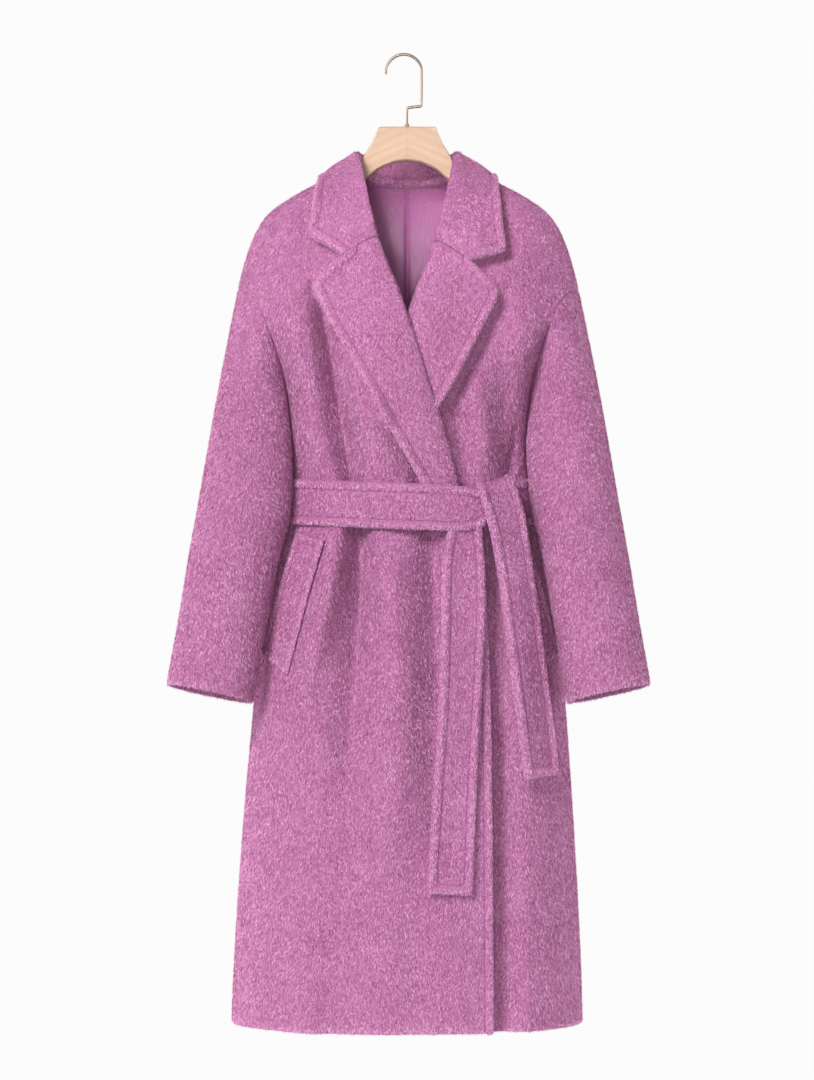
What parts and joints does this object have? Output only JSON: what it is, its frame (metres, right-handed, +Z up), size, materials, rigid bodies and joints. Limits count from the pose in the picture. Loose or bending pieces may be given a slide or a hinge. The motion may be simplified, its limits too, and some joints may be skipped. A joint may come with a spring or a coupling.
{
  "type": "wool wrap coat on a wooden hanger",
  "caption": "Knee-length belted wrap coat in brushed wool with notched lapels and slanted welt pockets, hanging on a flat wooden hanger.",
  "frame": {"origin": "the point under the crown of the hanger's hook where a rail carries it", "axes": "+Z up, from the hem to the hook; +X towards the wearer's left; -Y is the coat's front"},
  "size_m": [0.6194, 0.2523, 1.2577],
  "materials": {
    "brushed_wool": "long soft brushed pile, orchid pink",
    "lining_satin": "smooth satin, plum",
    "beech": "pale beech, satin lacquer",
    "polished_steel": "polished, slightly warm plating"
  },
  "bodies": {
    "root": {"front_right": "brushed_wool", "front_left": "brushed_wool", "back": "brushed_wool", "lining_back": "lining_satin", "lapel_right": "brushed_wool", "lapel_left": "brushed_wool", "collar": "brushed_wool", "sleeve_right": "brushed_wool", "sleeve_left": "brushed_wool", "pocket_right": "brushed_wool", "pocket_left": "brushed_wool", "belt_band": "brushed_wool", "belt_tail_long": "brushed_wool", "belt_tail_short": "brushed_wool", "hanger_body": "beech", "hanger_hook": "polished_steel", "hanger_ferrule": "polished_steel"}
  },
  "joints": []
}
